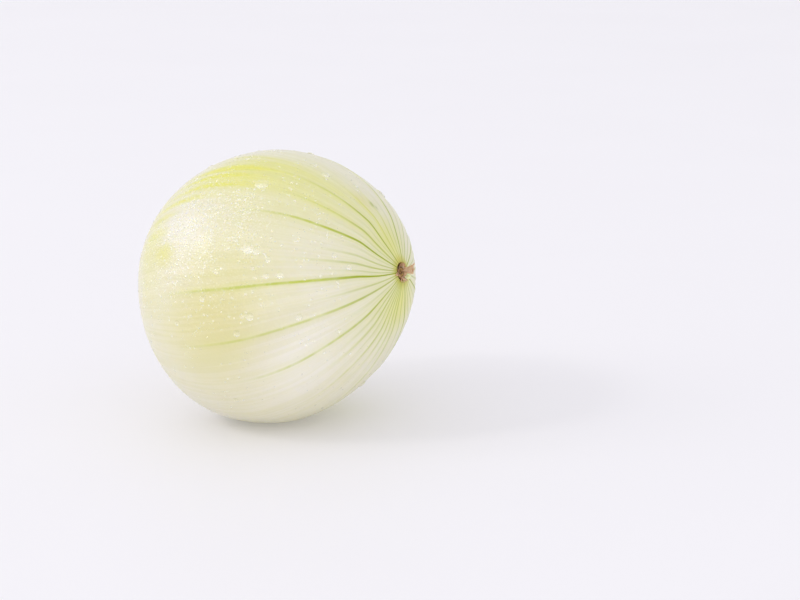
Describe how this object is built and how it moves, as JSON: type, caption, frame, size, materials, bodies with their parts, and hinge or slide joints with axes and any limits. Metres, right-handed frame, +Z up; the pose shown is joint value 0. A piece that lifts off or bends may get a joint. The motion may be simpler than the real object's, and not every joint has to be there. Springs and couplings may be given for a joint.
{
  "type": "onion",
  "caption": "Peeled onion lying on its side: pale fleshy bulb with fine raised veins, a shrivelled dry neck and a trimmed root plate.",
  "frame": {"origin": "centre of the small flat spot that the onion rests on", "axes": "+Z up; +X is the level direction that the neck points in, so the onion's own axis lies in the XZ plane and rises towards the neck"},
  "size_m": [0.0789, 0.0813, 0.0742],
  "materials": {
    "onion_flesh": "moist, glossy, slightly translucent fleshy scale, pale cream with yellow-green veins",
    "dry_skin": "dry, brown, papery and wrinkled leaf remains",
    "root_cork": "matt, tan, corky root plate with trimmed root stumps",
    "water": "clear beads of rinsing water on the flesh, smooth and glossy"
  },
  "bodies": {
    "root": {"bulb": "onion_flesh", "dry_neck": "dry_skin", "root_plate": "root_cork"}
  },
  "joints": []
}
